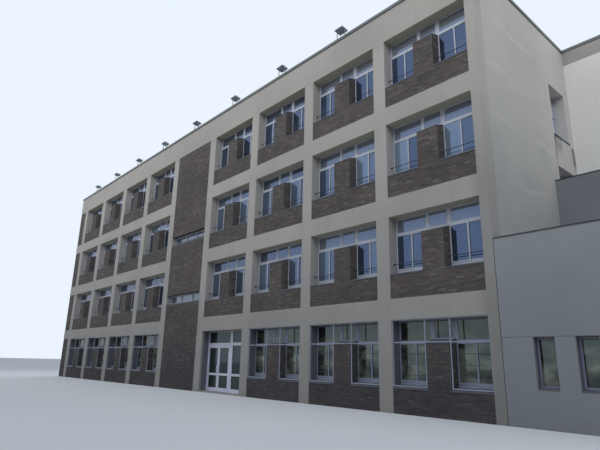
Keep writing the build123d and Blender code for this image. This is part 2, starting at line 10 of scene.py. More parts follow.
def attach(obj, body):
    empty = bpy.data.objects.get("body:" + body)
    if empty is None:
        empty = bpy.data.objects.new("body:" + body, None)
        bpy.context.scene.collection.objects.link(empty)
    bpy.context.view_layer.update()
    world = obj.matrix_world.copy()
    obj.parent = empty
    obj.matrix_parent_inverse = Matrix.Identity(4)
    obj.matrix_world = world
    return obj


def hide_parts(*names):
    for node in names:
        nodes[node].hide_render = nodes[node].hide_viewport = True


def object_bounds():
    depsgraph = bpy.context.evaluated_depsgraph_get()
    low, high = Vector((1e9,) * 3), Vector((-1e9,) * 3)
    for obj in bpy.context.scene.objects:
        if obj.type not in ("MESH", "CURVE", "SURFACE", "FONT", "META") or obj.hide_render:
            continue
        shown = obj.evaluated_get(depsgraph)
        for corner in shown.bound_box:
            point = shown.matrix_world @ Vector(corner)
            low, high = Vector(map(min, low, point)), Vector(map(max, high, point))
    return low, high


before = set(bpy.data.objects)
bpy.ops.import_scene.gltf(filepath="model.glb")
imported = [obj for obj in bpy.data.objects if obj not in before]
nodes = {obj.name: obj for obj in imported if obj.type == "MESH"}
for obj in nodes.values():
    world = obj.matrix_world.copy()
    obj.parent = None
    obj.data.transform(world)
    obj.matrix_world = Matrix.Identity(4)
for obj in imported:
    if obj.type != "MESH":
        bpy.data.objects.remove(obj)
cad_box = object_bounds()

# Brick courses
BRICK_LENGTH = 0.24
BRICK_HEIGHT = 0.05
JOINT = 0.01
BRICK_PROUD = 0.006
BRICK_UNEVEN = 0.0015
SMALLEST_CUT = 0.03

# Windows of the bays
GROUND_SILL_LIMIT = 1.0
PIER_WIDTH = 0.765
PIER_WEATHERING = 0.12
CAP_NOSE = 0.015
CAP_THICKNESS = 0.02
CAP_EDGE = 0.003
FRAME_SIDE = 0.05
FRAME_HEAD = 0.04
SILL_BACK = 0.115
BOTTOM_RAIL = 0.13
TRANSOM_DROP = 0.605
GROUND_TRANSOM_DROP = 0.73
TRANSOM_HEIGHT = 0.10
MULLION = 0.13
PANE_SETBACK = 0.010
PANE_THICKNESS = 0.006
PANE_BITE = 0.004
SASH_WIDTH = 0.045
SASH_DEPTH = 0.022
SASH_OVERLAP = 0.022
SASH_LAP = 0.036
SASH_PROUD = 0.012
BEAD_WIDTH = 0.016
BEAD_SETBACK = 0.012
GASKET_WIDTH = 0.006
GASKET_DEPTH = 0.004
SOFTENED_EDGE = 0.003
REAR_FRAME = 0.08
REAR_LIGHTS = 3
STRIP_FRAME = 0.05
STRIP_SILL = 0.06
STRIP_LIGHTS = 3
END_TRANSOM_SHARE = 0.6
END_WINDOW_HEIGHT = 2.15
END_SILL = 0.04
END_LAP = 0.026
ANNEX_FRAME = 0.045
ANNEX_SILL = 0.05

# Rails and grilles
RAIL_RADIUS = 0.013
RAIL_FLANGE_RADIUS = 0.035
RAIL_FLANGE_DEPTH = 0.012
WIRE_RADIUS = 0.006
GRILLE_TUBE = 0.03
GRILLE_WIRES = 3
GRILLE_RAIL_DROP = 0.705
GRILLE_PIER_GAP = 0.025
ROUND_SIDES = 10

# Right end wall: a pale zone, pale lines between the lifts of render, and stains below the top
# window, each with its middle, half width, bottom and top. A pair is where a change starts and
# where it is full.
END_PALE_Y = (-2.4, -0.8)
END_PALE_Z = (6.0, 8.5)
END_PALE_SHARE = 0.5
END_PALER = 1.22
END_LIFT = 1.9
END_LINE = (0.16, 0.02)
END_LINE_SHARE = 0.40
END_STAINS = ((0.60, 0.24, 8.7, 9.80), (-0.80, 0.45, 9.1, 9.85), (-1.10, 0.08, 8.5, 9.85))
END_STAIN_TONE = (0.15, 0.148, 0.14)
END_STAIN_SHARE = 0.95

# Coping seams
SEAM_PITCH = 2.98
SEAM_WIDTH = 0.07
SEAM_PROUD = 0.003
SEAM_EDGE = 0.002

# Floodlights
LAMP_LEAN = math.radians(8)
LAMP_WIDTH = 0.43
LAMP_LENGTH = 0.35
LAMP_RIM = 0.03
LAMP_HOUSING = 0.067
LAMP_TAPER = math.radians(25)
LAMP_EDGE = 0.004
LENS_RIM = 0.028
LENS_SETBACK = 0.006
LENS_EDGE = 0.002
RIB_COUNT = 9
RIB_PITCH = 0.034
RIB_THICKNESS = 0.006
RIB_RISE = 0.025
RIB_EDGE = 0.001
YOKE_ABOVE_PIVOT = 0.02
BOLT_HEAD = 0.008
BOLT_RADIUS = 0.012
BOLT_SIDES = 6

# Finishes: the render's tone is given by height as painted shade, darker and cooler low down, and a
# pair is where a change starts and where it is full
WALL_TOP = 13.0
RENDER_SHADE_HEIGHTS = ((0.0, 0.68), (3.0, 0.80), (5.5, 0.95), (12.6, 1.0), (13.0, 0.90))
END_SHADE_HEIGHTS = ((0.0, 0.66), (5.9, 0.75), (9.4, 0.96), (13.0, 0.93))
ANNEX_SHADE_HEIGHTS = ((0.0, 0.68), (5.0, 0.88), (13.0, 1.0))
PALE_SHADE_HEIGHTS = ((0.0, 0.9), (13.0, 1.0))
COOLER_SHADE_FOOT = 0.05
DARK_FOOT = (0.9, 0.35)
DARK_FOOT_SHARE = 0.35
# Painted shade in the ground-storey reveals: where it starts and is full, its tone and its share.
REVEAL_FRONT = (-6.57, -6.45)
REVEAL_BACK = -6.0
REVEAL_HEIGHT = (3.4, 2.6)
REVEAL_SHADE_TONE = (0.12, 0.13, 0.175)
REVEAL_SHADE_SHARE = 0.85
# Painted bounce light on faces that look down: how far they face down, and their lighter brown
# tone.
SOFFIT_BOUNCE_LIGHT_FACING = (-0.5, -0.9)
SOFFIT_BOUNCE_LIGHT_TONE = (0.58, 0.55, 0.46)
# Painted shade on the corner column's lower storeys: where it runs, and its tint.
CORNER_COLUMN = (17.3, 17.6)
CORNER_HEIGHT = (9.5, 6.5)
CORNER_SHADE_TONE = (0.79, 0.80, 0.81)
STOREY = 3.4
# Painted shade on the ground storey's metal: where it starts and where it is full.
GROUND_METAL_SHADE = (3.0, 2.9)
GLASS_IOR = 1.9
GROUND_TRANSOM = (2.0, 2.15)
BLIND_START = (2.0, 8.0)
BLIND_END = (12.0, 9.0)
BLIND_CHANCE = (0.25, 0.8)
TRANSOM_LIGHT = (2.22, 2.25)
# Painted reflection of the sky in the lights over the transoms: its colour, the near end, its
# shares.
TRANSOM_SKY_REFLECTION = (0.22, 0.245, 0.275)
TRANSOM_REFLECTION_NEAR = (9.5, 11.5)
TRANSOM_REFLECTION_SHARE = 0.3
TRANSOM_REFLECTION_NEAR_SHARE = 0.6

# Light
SKY_COLOUR = (0.84, 0.91, 1.0)
SKY_STRENGTH = 0.46
SHOWN_COLOUR = (0.83, 0.905, 1.0)
KEY_STRENGTH = 0.38
KEY_COLOUR = (1.0, 0.98, 0.96)
KEY_SPREAD = math.radians(50)
KEY_TILT = math.radians(48)
KEY_TURN = math.radians(36)
SOFTBOX_HEIGHT = 19.0
SOFTBOX_DISTANCE = 9.0
SOFTBOX_TARGET = 12.5
SOFTBOX_WIDTH = 8.0
SOFTBOX_OVERRUN = 16.0
SOFTBOX_RADIANCE = 1.45
SOFTBOX_COLOUR = (0.985, 0.98, 0.98)
FLOOR_RADIUS = 400.0
FLOOR_SIDES = 96
FLOOR_LIGHTING = (0.34, 0.32, 0.27)

# Camera, fitted to the building's lines in the photograph
CAMERA_PLACE = (24.286, -19.373, 1.426)
CAMERA_YAW = math.radians(48.50)
CAMERA_PITCH = math.radians(15.49)
CAMERA_ROLL = math.radians(1.28)
CAMERA_LENS = 29.737
CAMERA_REACH = 1000.0
SENSOR_WIDTH = 36.0


# Meshes; a corner is the angle in radians above which an edge is softened
MERGE_DISTANCE = 1e-5
SQUARE_CORNER = 1.0
LAMP_CORNER = 0.3


def as_mesh(name, bm):
    """Turn a bmesh into a mesh."""
    mesh = bpy.data.meshes.new(name)
    bm.to_mesh(mesh)
    bm.free()
    return mesh


def solids(node):
    """Lowest and highest corner of each solid of a CAD node, from the ground up and from -X."""
    bm = bmesh.new()
    bm.from_mesh(nodes[node].data)
    bmesh.ops.remove_doubles(bm, verts=bm.verts, dist=MERGE_DISTANCE)
    waiting = set(bm.verts)
    boxes = []
    while waiting:
        island = [waiting.pop()]
        for vert in island:
            for edge in vert.link_edges:
                other = edge.other_vert(vert)
                if other in waiting:
                    waiting.remove(other)
                    island.append(other)
        low = Vector([min(v.co[i] for v in island) for i in range(3)])
        high = Vector([max(v.co[i] for v in island) for i in range(3)])
        boxes.append((low, high))
    bm.free()
    return sorted(boxes, key=lambda b: (round(b[0].z, 3), round(b[0].x, 3), round(b[0].y, 3)))


def piece(name, bm, material, replaces=()):
    """Turn a bmesh into a finished piece that rides on the building."""
    mesh = as_mesh(name, bm)
    obj = bpy.data.objects.new(name, mesh)
    bpy.context.scene.collection.objects.link(obj)
    mesh.materials.append(material)
    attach(obj, "building")
    if replaces:
        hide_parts(*replaces)


def placed(low, high):
    """Matrix that turns a unit cube into the box between two corners."""
    low, high = Vector(low), Vector(high)
    return Matrix.Translation((low + high) / 2) @ Matrix.Diagonal((*(high - low), 1))


def bar(bm, low, high, softened=0.0):
    """A straight bar between two corners, its edges softened if asked."""
    made = bmesh.ops.create_cube(bm, size=1, matrix=placed(low, high))
    if softened:
        edges = list(dict.fromkeys(e for v in made["verts"] for e in v.link_edges))
        bmesh.ops.bevel(bm, geom=edges, offset=softened, offset_type="OFFSET", segments=1,
                        profile=0.5, affect="EDGES", material=-1)


def ring(bm, x0, x1, z0, z1, front, depth, width, softened=SOFTENED_EDGE):
    """A rectangular frame in the XZ plane that faces -Y, with softened front edges."""
    to_wall = (Matrix.Translation(((x0 + x1) / 2, front, (z0 + z1) / 2))
               @ Matrix.Diagonal((x1 - x0, 1, z1 - z0, 1)) @ Matrix.Rotation(math.pi / 2, 4, "X"))
    grid = bmesh.ops.create_grid(bm, x_segments=1, y_segments=1, size=0.5, matrix=to_wall)
    pane = grid["verts"][0].link_faces[0]
    rim = bmesh.ops.inset_region(bm, faces=[pane], thickness=width, use_even_offset=True,
                                 use_boundary=True)["faces"]
    bmesh.ops.delete(bm, geom=[pane], context="FACES")
    wall = bmesh.ops.extrude_face_region(bm, geom=rim)["geom"]
    back = [v for v in wall if isinstance(v, bmesh.types.BMVert)]
    bmesh.ops.translate(bm, verts=back, vec=(0, depth, 0))
    faces = list(dict.fromkeys([f for v in back for f in v.link_faces] + rim))
    bmesh.ops.recalc_face_normals(bm, faces=faces)
    if softened:
        edges = [e for f in rim for e in f.edges if len(e.link_faces) == 2
                 and abs(e.calc_face_angle(0)) > SQUARE_CORNER]
        bmesh.ops.bevel(bm, geom=list(dict.fromkeys(edges)), offset=softened,
                        offset_type="OFFSET", segments=1, profile=0.5, affect="EDGES", material=-1)


def rod(bm, start, end, radius, sides=ROUND_SIDES):
    """A round rod from start to end."""
    start, end = Vector(start), Vector(end)
    along = end - start
    turn = Vector((0, 0, 1)).rotation_difference(along).to_matrix().to_4x4()
    bmesh.ops.create_cone(bm, cap_ends=True, segments=sides, radius1=radius, radius2=radius,
                          depth=along.length, matrix=Matrix.Translation((start + end) / 2) @ turn)


def stamp(bm, mesh, matrix):
    """Add a copy of a mesh, placed by a matrix."""
    copy = mesh.copy()
    copy.transform(matrix)
    bm.from_mesh(copy)
    bpy.data.meshes.remove(copy)


# Finishes
class Finish:
    """A node material built around one principled shader, in object coordinates."""

    def __init__(self, name, roughness, metallic=0.0, specular=0.5):
        self.material = bpy.data.materials.new(name)
        self.material.use_nodes = True
        self.tree = self.material.node_tree
        self.shader = self.tree.nodes["Principled BSDF"]
        self.shader.inputs["Roughness"].default_value = roughness
        self.shader.inputs["Metallic"].default_value = metallic
        self.shader.inputs["Specular IOR Level"].default_value = specular
        self.place = self.node("ShaderNodeTexCoord").outputs["Object"]

    def node(self, kind, **settings):
        """Add a node with its settings."""
        made = self.tree.nodes.new(kind)
        for key, value in settings.items():
            setattr(made, key, value)
        return made

    def link(self, source, target):
        """Join two sockets."""
        self.tree.links.new(source, target)

    def noise(self, size, detail, stretch=(1, 1, 1), distortion=0.0):
        """Noise with features of about a size in metres, stretched along the axes."""
        mapping = self.node("ShaderNodeMapping", vector_type="TEXTURE")
        mapping.inputs["Scale"].default_value = [size * s for s in stretch]
        self.link(self.place, mapping.inputs["Vector"])
        texture = self.node("ShaderNodeTexNoise")
        texture.inputs["Scale"].default_value = 1
        texture.inputs["Detail"].default_value = detail
        texture.inputs["Distortion"].default_value = distortion
        self.link(mapping.outputs["Vector"], texture.inputs["Vector"])
        return texture.outputs["Fac"]

    def ramp(self, value, stops):
        """Colour or grey by position, from (position, colour) stops."""
        ramp = self.node("ShaderNodeValToRGB")
        band = ramp.color_ramp
        while len(band.elements) < len(stops):
            band.elements.new(0.5)
        for element, (position, colour) in zip(band.elements, stops):
            element.position = position
            element.color = (*colour, 1)
        self.link(value, ramp.inputs["Fac"])
        return ramp.outputs["Color"]

    def mask(self, value, low, high):
        """Value from 0 at low to 1 at high."""
        step = self.node("ShaderNodeMapRange")
        step.inputs["From Min"].default_value = low
        step.inputs["From Max"].default_value = high
        self.link(value, step.inputs["Value"])
        return step.outputs["Result"]

    def math(self, operation, a, b=0.0):
        """One operation on two values, each a socket or a number."""
        made = self.node("ShaderNodeMath", operation=operation)
        for socket, value in zip(made.inputs, (a, b)):
            if isinstance(value, (int, float)):
                socket.default_value = value
            else:
                self.link(value, socket)
        return made.outputs["Value"]

    def times(self, a, b):
        """One value times another."""
        return self.math("MULTIPLY", a, b)

    def mix(self, amount, a, b, blend="MIX"):
        """Mix two colours, each a socket or a colour."""
        made = self.node("ShaderNodeMix", data_type="RGBA", blend_type=blend)
        for socket, value in ((made.inputs["Factor"], amount), (made.inputs["A"], a),
                              (made.inputs["B"], b)):
            if isinstance(value, (int, float)):
                socket.default_value = value
            elif isinstance(value, tuple):
                socket.default_value = (*value, 1)
            else:
                self.link(value, socket)
        return made.outputs["Result"]

    def tinted(self, tone, tint):
        """A colour times another."""
        return self.mix(1.0, tone, tint, "MULTIPLY")

    def axis(self, name):
        """One of the object's coordinates."""
        split = self.node("ShaderNodeSeparateXYZ")
        self.link(self.place, split.inputs["Vector"])
        return split.outputs[name]

    def colour(self, value):
        """Send a colour to the shader."""
        self.link(value, self.shader.inputs["Base Color"])

    def bump(self, value, depth, strength=1.0):
        """Relief of a depth in metres."""
        made = self.node("ShaderNodeBump")
        made.inputs["Distance"].default_value = depth
        made.inputs["Strength"].default_value = strength
        self.link(value, made.inputs["Height"])
        self.link(made.outputs["Normal"], self.shader.inputs["Normal"])

    def rough(self, value, low, high):
        """Roughness that varies between two values."""
        step = self.node("ShaderNodeMapRange")
        step.inputs["To Min"].default_value = low
        step.inputs["To Max"].default_value = high
        self.link(value, step.inputs["Value"])
        self.link(step.outputs["Result"], self.shader.inputs["Roughness"])


def toned(colour, share):
    """A colour made darker or paler."""
    return tuple(share * c for c in colour)


def painted_render(name, light, dark, streak=0.25, shade_heights=RENDER_SHADE_HEIGHTS, reveals=False,
                   corner=False):
    """Painted render with clouds and rain streaks.

    Where asked, the ground storey's reveals of openings are darkened by painted shade and the faces
    below their heads are lighter and brown with painted bounce light, and the corner column is
    darker on its lower storeys with painted shade.
    """
    finish = Finish(name, roughness=0.85, specular=0.3)
    cloud = finish.noise(size=2.6, detail=4)
    tone = finish.ramp(cloud, [(0.3, dark), (0.7, light)])
    runs = finish.noise(size=0.7, detail=4, stretch=(0.5, 0.5, 6), distortion=0.5)
    rain = finish.mask(runs, 0.52, 0.80)
    tone = finish.mix(finish.times(rain, streak), tone, toned(dark, 0.72))
    if reveals:
        # Painted bounce light: faces that look down, below the heads, are made lighter and browner.
        normal = finish.node("ShaderNodeSeparateXYZ")
        finish.link(finish.node("ShaderNodeNewGeometry").outputs["Normal"], normal.inputs["Vector"])
        tone = finish.mix(finish.mask(normal.outputs["Z"], *SOFFIT_BOUNCE_LIGHT_FACING), tone, SOFFIT_BOUNCE_LIGHT_TONE)
        # Painted shade: the reveals of the ground-storey openings are darkened deep inside.
        inside = finish.times(finish.mask(finish.axis("Y"), *REVEAL_FRONT),
                              finish.math("LESS_THAN", finish.axis("Y"), REVEAL_BACK))
        reveal_shade = finish.times(inside, finish.mask(finish.axis("Z"), *REVEAL_HEIGHT))
        tone = finish.mix(finish.times(reveal_shade, REVEAL_SHADE_SHARE), tone, REVEAL_SHADE_TONE)
    # Painted shade: the corner column is darkened on its lower storeys.
    if corner:
        end = finish.times(finish.mask(finish.axis("X"), *CORNER_COLUMN),
                           finish.mask(finish.axis("Z"), *CORNER_HEIGHT))
        tone = finish.mix(end, tone, finish.tinted(tone, CORNER_SHADE_TONE))
    finish_render(finish, tone, dark, shade_heights)
    return finish.material


def end_render():
    """End wall's render: clouds, wavering pale lines, a pale zone, and stains below the window."""
    light, dark = (0.54, 0.53, 0.51), (0.465, 0.465, 0.455)
    pale = toned(light, END_PALER)
    finish = Finish("end_wall_render", roughness=0.85, specular=0.3)
    y, z = finish.axis("Y"), finish.axis("Z")
    cloud = finish.noise(size=3.2, detail=3, distortion=0.8)
    tone = finish.ramp(cloud, [(0.35, dark), (0.65, light)])
    wander = finish.times(finish.noise(size=3.0, detail=2, stretch=(1, 1, 3)), 1.3)
    lift = finish.math("PINGPONG", finish.math("ADD", z, wander), END_LIFT / 2)
    broken = finish.mask(finish.noise(size=1.6, detail=3, stretch=(1, 1.6, 0.8)), 0.44, 0.62)
    line = finish.times(finish.mask(lift, *END_LINE), broken)
    tone = finish.mix(finish.times(line, END_LINE_SHARE), tone, pale)
    zone = finish.times(finish.mask(y, *END_PALE_Y), finish.mask(z, *END_PALE_Z))
    tone = finish.mix(finish.times(zone, END_PALE_SHARE), tone, pale)
    ragged = finish.mask(finish.noise(size=0.35, detail=4, stretch=(1, 0.5, 1.6)), 0.25, 0.60)
    for centre, width, bottom, top in END_STAINS:
        away = finish.math("ABSOLUTE", finish.math("SUBTRACT", y, centre))
        run = finish.times(finish.mask(z, bottom, bottom + 0.5),
                           finish.math("LESS_THAN", z, top))
        stain = finish.times(finish.mask(away, width, 0.3 * width), run)
        stain = finish.times(finish.times(stain, ragged), END_STAIN_SHARE)
        tone = finish.mix(stain, tone, END_STAIN_TONE)
    finish_render(finish, tone, dark, END_SHADE_HEIGHTS)
    return finish.material


def finish_render(finish, tone, dark, shade_heights):
    """Give the render painted shade by height, darker and cooler low down, with a darker foot and a
    grain.
    """
    height = finish.mask(finish.axis("Z"), 0.0, WALL_TOP)
    # Painted shade: the tone steps down and turns cooler towards the bottom of the wall.
    stops = []
    for z, value in shade_heights:
        cool = COOLER_SHADE_FOOT * (1 - z / WALL_TOP)
        stops.append((z / WALL_TOP, (value * (1 - cool), value * (1 - 0.2 * cool),
                                     min(1.0, value * (1 + cool)))))
    tone = finish.tinted(tone, finish.ramp(height, stops))
    uneven = finish.math("ADD", finish.axis("Z"), finish.noise(size=0.3, detail=3))
    foot = finish.mask(uneven, *DARK_FOOT)
    tone = finish.mix(finish.times(foot, DARK_FOOT_SHARE), tone, toned(dark, 0.55))
    finish.colour(tone)
    grain = finish.math("ADD", finish.noise(size=0.012, detail=5),
                        finish.noise(size=0.25, detail=2))
    finish.bump(grain, depth=0.0025, strength=0.5)


def brick_finish():
    """Rustic brick, each one with its own tone, from charcoal to brown with a few tan ones, with
    painted shade darker and bluer towards the ground.
    """
    finish = Finish("rustic_brick", roughness=0.9, specular=0.25)
    own = finish.node("ShaderNodeNewGeometry").outputs["Random Per Island"]
    tone = finish.ramp(own, [(0.0, (0.096, 0.088, 0.092)), (0.35, (0.118, 0.107, 0.108)),
                             (0.62, (0.138, 0.125, 0.124)), (0.80, (0.140, 0.113, 0.107)),
                             (0.95, (0.166, 0.153, 0.146)), (1.0, (0.205, 0.192, 0.182))])
    burnt = finish.noise(size=0.09, detail=4)
    tone = finish.mix(finish.mask(burnt, 0.55, 0.85), tone, (0.060, 0.054, 0.058))
    cloud = finish.ramp(finish.noise(size=1.5, detail=3),
                        [(0.3, (0.84, 0.85, 0.87)), (0.7, (1.12, 1.11, 1.10))])
    tone = finish.tinted(tone, cloud)
    # Painted shade: the bricks grow darker and bluer towards the ground.
    low = finish.ramp(finish.mask(finish.axis("Z"), 0.5, 4.5),
                      [(0.06, (0.52, 0.56, 0.64)), (0.25, (0.68, 0.71, 0.77)),
                       (0.6, (0.76, 0.79, 0.84)), (1.0, (1.0, 1.0, 1.0))])
    finish.colour(finish.tinted(tone, low))
    finish.bump(finish.noise(size=0.01, detail=6), depth=0.004, strength=0.8)
    return finish.material


def mortar_finish():
    """Grey mortar with sandy grain."""
    finish = Finish("brick_mortar", roughness=0.95, specular=0.2)
    finish.colour(finish.ramp(finish.noise(size=0.4, detail=5), [(0.3, (0.105, 0.100, 0.100)),
                                                     (0.7, (0.160, 0.152, 0.148))]))
    finish.bump(finish.noise(size=0.004, detail=4), depth=0.001)
    return finish.material


def coated_metal(name, light, dark, roughness=0.4, metallic=0.0, size=0.6, low=None):
    """Coated metal with faint dulling, and where asked of a deeper tone on the ground storey, a
    painted shade.
    """
    finish = Finish(name, roughness, metallic)
    tone = finish.ramp(finish.noise(size, detail=4), [(0.3, dark), (0.7, light)])
    # Painted shade: where asked, the ground storey's metal is tinted deeper.
    if low:
        under = finish.mask(finish.axis("Z"), *GROUND_METAL_SHADE)
        tone = finish.mix(under, tone, finish.tinted(tone, low))
    finish.colour(tone)
    finish.rough(finish.noise(size=0.15, detail=3), roughness * 0.8, min(1, roughness * 1.3))
    finish.bump(finish.noise(size=0.05, detail=2), depth=0.0004, strength=0.4)
    return finish.material


def window_glass(name, tint, body, blind=None):
    """Window glass with a wavy tinted reflection over its body, and blinds behind it if asked.

    The blinds of a sash are drawn or not by chance, mostly on the middle storeys. Those of the
    The lights over the transoms get a painted pale reflection of the sky, stronger at the near end
    of the front.
    """
    finish = Finish(name, roughness=0.03, specular=1.0)
    finish.shader.inputs["IOR"].default_value = GLASS_IOR
    finish.shader.inputs["Specular Tint"].default_value = (*tint, 1)
    tone = finish.ramp(finish.noise(size=1.2, detail=2), [(0.3, toned(body, 0.7)), (0.7, body)])
    if blind:
        z = finish.axis("Z")
        middle = finish.times(finish.mask(z, *BLIND_START), finish.mask(z, *BLIND_END))
        own = finish.node("ShaderNodeNewGeometry").outputs["Random Per Island"]
        drawn = finish.times(middle, finish.mask(own, *BLIND_CHANCE))
        folds = finish.ramp(finish.noise(size=0.12, detail=2, stretch=(1, 1, 12)),
                            [(0.3, toned(blind, 0.75)), (0.7, blind)])
        tone = finish.mix(drawn, tone, folds)
        # Painted reflection: the lights over the transoms are paled towards the sky's colour, more
        # at the near end.
        lights = finish.mask(finish.math("MODULO", z, STOREY), *TRANSOM_LIGHT)
        near = finish.times(TRANSOM_REFLECTION_NEAR_SHARE, finish.mask(finish.axis("X"), *TRANSOM_REFLECTION_NEAR))
        share = finish.math("ADD", near, TRANSOM_REFLECTION_SHARE)
        tone = finish.mix(finish.times(lights, share), tone, TRANSOM_SKY_REFLECTION)
    finish.colour(tone)
    finish.bump(finish.noise(size=0.7, detail=1), depth=0.0015, strength=0.5)
    return finish.material


def street_glass():
    """Ground-storey glass: dull, with pale and dark patches, browner over the transoms."""
    finish = Finish("ground_storey_glass", roughness=0.04, specular=1.0)
    finish.shader.inputs["IOR"].default_value = GLASS_IOR
    finish.shader.inputs["Specular Tint"].default_value = (0.30, 0.36, 0.34, 1)
    patches = finish.noise(size=0.55, detail=4, stretch=(1.3, 1, 0.8), distortion=0.2)
    low = finish.ramp(patches, [(0.36, (0.010, 0.012, 0.014)), (0.47, (0.050, 0.056, 0.048)),
                                (0.60, (0.135, 0.150, 0.125)), (0.72, (0.26, 0.29, 0.27))])
    high = finish.ramp(patches, [(0.38, (0.010, 0.012, 0.020)), (0.50, (0.045, 0.040, 0.030)),
                                 (0.62, (0.080, 0.070, 0.054)), (0.74, (0.24, 0.25, 0.26))])
    over = finish.mask(finish.axis("Z"), *GROUND_TRANSOM)
    finish.colour(finish.mix(over, low, high))
    finish.bump(finish.noise(size=0.7, detail=1), depth=0.0015, strength=0.5)
    return finish.material


def stone_finish(name, light, dark):
    """Cast stone, dusty, with fine pits."""
    finish = Finish(name, roughness=0.7)
    finish.colour(finish.ramp(finish.noise(size=0.35, detail=5), [(0.3, dark), (0.7, light)]))
    finish.bump(finish.noise(size=0.006, detail=4), depth=0.0008)
    return finish.material


def gravel_finish():
    """Roof gravel."""
    finish = Finish("roof_gravel", roughness=0.95)
    stones = finish.node("ShaderNodeTexVoronoi")
    stones.inputs["Scale"].default_value = 28
    finish.link(finish.place, stones.inputs["Vector"])
    patch = finish.ramp(finish.noise(size=2.5, detail=4),
                        [(0.3, (0.26, 0.25, 0.235)), (0.7, (0.36, 0.35, 0.33))])
    finish.colour(finish.mix(0.35, patch, stones.outputs["Color"], "SOFT_LIGHT"))
    finish.bump(stones.outputs["Distance"], depth=0.02, strength=0.8)
    return finish.material


CREAM = painted_render("cream_render", (0.468, 0.454, 0.436), (0.406, 0.394, 0.380),
                       reveals=True, corner=True)
END_WALL = end_render()
# Painted shade: the annex's cream render is given a darker, bluer grey for the shade it stands in.
ANNEX_SHADED_RENDER = painted_render("annex_render", (0.368, 0.388, 0.415), (0.318, 0.338, 0.368),
                       streak=0.12, shade_heights=ANNEX_SHADE_HEIGHTS, reveals=True)
ROOM = painted_render("upper_room_render", (0.26, 0.265, 0.285), (0.21, 0.215, 0.24),
                      streak=0.15, shade_heights=PALE_SHADE_HEIGHTS)
WING = painted_render("wing_render", (0.86, 0.855, 0.84), (0.80, 0.795, 0.78),
                      streak=0.22, shade_heights=PALE_SHADE_HEIGHTS)
BRICK = brick_finish()
MORTAR = mortar_finish()
# Painted shade: the white aluminium gets a bluish grey base, the colour of white in blue skylight
# shade.
WHITE_FRAME_SKY_SHADED = coated_metal("white_aluminium", (0.54, 0.58, 0.68), (0.48, 0.52, 0.61),
                           low=(0.50, 0.54, 0.63))
DOOR_FRAME = coated_metal("door_aluminium", (0.62, 0.64, 0.80), (0.54, 0.56, 0.72))
GREY_FRAME = coated_metal("grey_aluminium", (0.24, 0.26, 0.37), (0.20, 0.215, 0.31))
GASKET = coated_metal("black_gasket", (0.02, 0.02, 0.022), (0.015, 0.015, 0.016),
                      roughness=0.6)
DARK_PAINT = coated_metal("dark_bar_paint", (0.035, 0.04, 0.05), (0.02, 0.024, 0.03),
                          roughness=0.45)
GRILLE_PAINT = coated_metal("grille_paint", (0.32, 0.36, 0.48), (0.26, 0.30, 0.41))
COPING = coated_metal("coping_sheet", (0.17, 0.19, 0.19), (0.12, 0.14, 0.14),
                      roughness=0.45, metallic=0.3, size=1.5)
LAMP_PAINT = coated_metal("lamp_housing", (0.26, 0.29, 0.33), (0.2, 0.23, 0.27),
                          roughness=0.45)
LAMP_LENS = window_glass("lamp_lens", (0.8, 0.9, 1.0), (0.42, 0.46, 0.56))
GLASS = window_glass("window_glass", (0.36, 0.50, 0.85), (0.03, 0.042, 0.07),
                     blind=(0.20, 0.27, 0.36))
GROUND_GLASS = street_glass()
STRIP_GLASS = window_glass("strip_window_glass", (0.62, 0.74, 0.92), (0.16, 0.18, 0.22))
DOOR_GLASS = window_glass("door_glass", (0.14, 0.19, 0.20), (0.024, 0.036, 0.036))
# Painted reflection: the end windows' glass has a pale body that stands in for the sky's glare.
END_GLASS_PAINTED_GLARE = window_glass("end_window_glass", (0.80, 0.80, 1.0), (0.75, 0.76, 0.88))
SILL = stone_finish("sill_stone", (0.105, 0.112, 0.135), (0.075, 0.082, 0.10))
CONCRETE = stone_finish("floor_concrete", (0.30, 0.295, 0.285), (0.24, 0.235, 0.23))
GRAVEL = gravel_finish()

NODE_FINISHES = {
    "ground_slabs": CONCRETE, "floor_slabs": CONCRETE, "roof_slabs": GRAVEL,
    "low_roof_slabs": GRAVEL, "front_bands": CREAM, "front_columns": CREAM,
    "front_spandrels": MORTAR, "front_piers": MORTAR, "stair_panels": MORTAR,
    "end_strip_panels": MORTAR, "window_sills": SILL, "front_window_frames": WHITE_FRAME_SKY_SHADED,
    "front_window_glass": GLASS, "stair_window_frames": WHITE_FRAME_SKY_SHADED,
    "stair_window_glass": STRIP_GLASS, "guard_bars": DARK_PAINT,
    "ground_storey_grilles": GRILLE_PAINT, "entrance_threshold": CONCRETE,
    "entrance_posts": DOOR_FRAME, "entrance_rails": DOOR_FRAME, "entrance_glass": DOOR_GLASS,
    "frame_hinges": DOOR_FRAME, "left_door_leaf": DOOR_FRAME, "left_door_glass": DOOR_GLASS,
    "left_door_fittings": DOOR_FRAME, "right_door_leaf": DOOR_FRAME,
    "right_door_glass": DOOR_GLASS, "right_door_fittings": DOOR_FRAME,
    "left_end_wall": END_WALL, "right_end_wall": END_WALL, "right_end_infill": END_WALL,
    "end_window_frames": WHITE_FRAME_SKY_SHADED, "end_window_glass": END_GLASS_PAINTED_GLARE, "rear_bands": CREAM,
    "rear_columns": CREAM, "rear_spandrels": MORTAR, "rear_window_frames": WHITE_FRAME_SKY_SHADED,
    "rear_window_glass": GLASS, "wing_front_wall": WING, "wing_party_wall": WING,
    "annex_front_wall": ANNEX_SHADED_RENDER, "annex_wall_piers": ANNEX_SHADED_RENDER, "annex_party_wall": ANNEX_SHADED_RENDER,
    "annex_window_frames": GREY_FRAME, "annex_window_glass": GROUND_GLASS,
    "low_copings": DARK_PAINT, "room_front_wall": ROOM, "room_end_wall": ROOM,
    "long_parapets": CREAM, "end_parapets": END_WALL, "long_copings": COPING,
    "end_copings": COPING, "floodlight_heads": LAMP_PAINT, "floodlight_brackets": LAMP_PAINT,
}


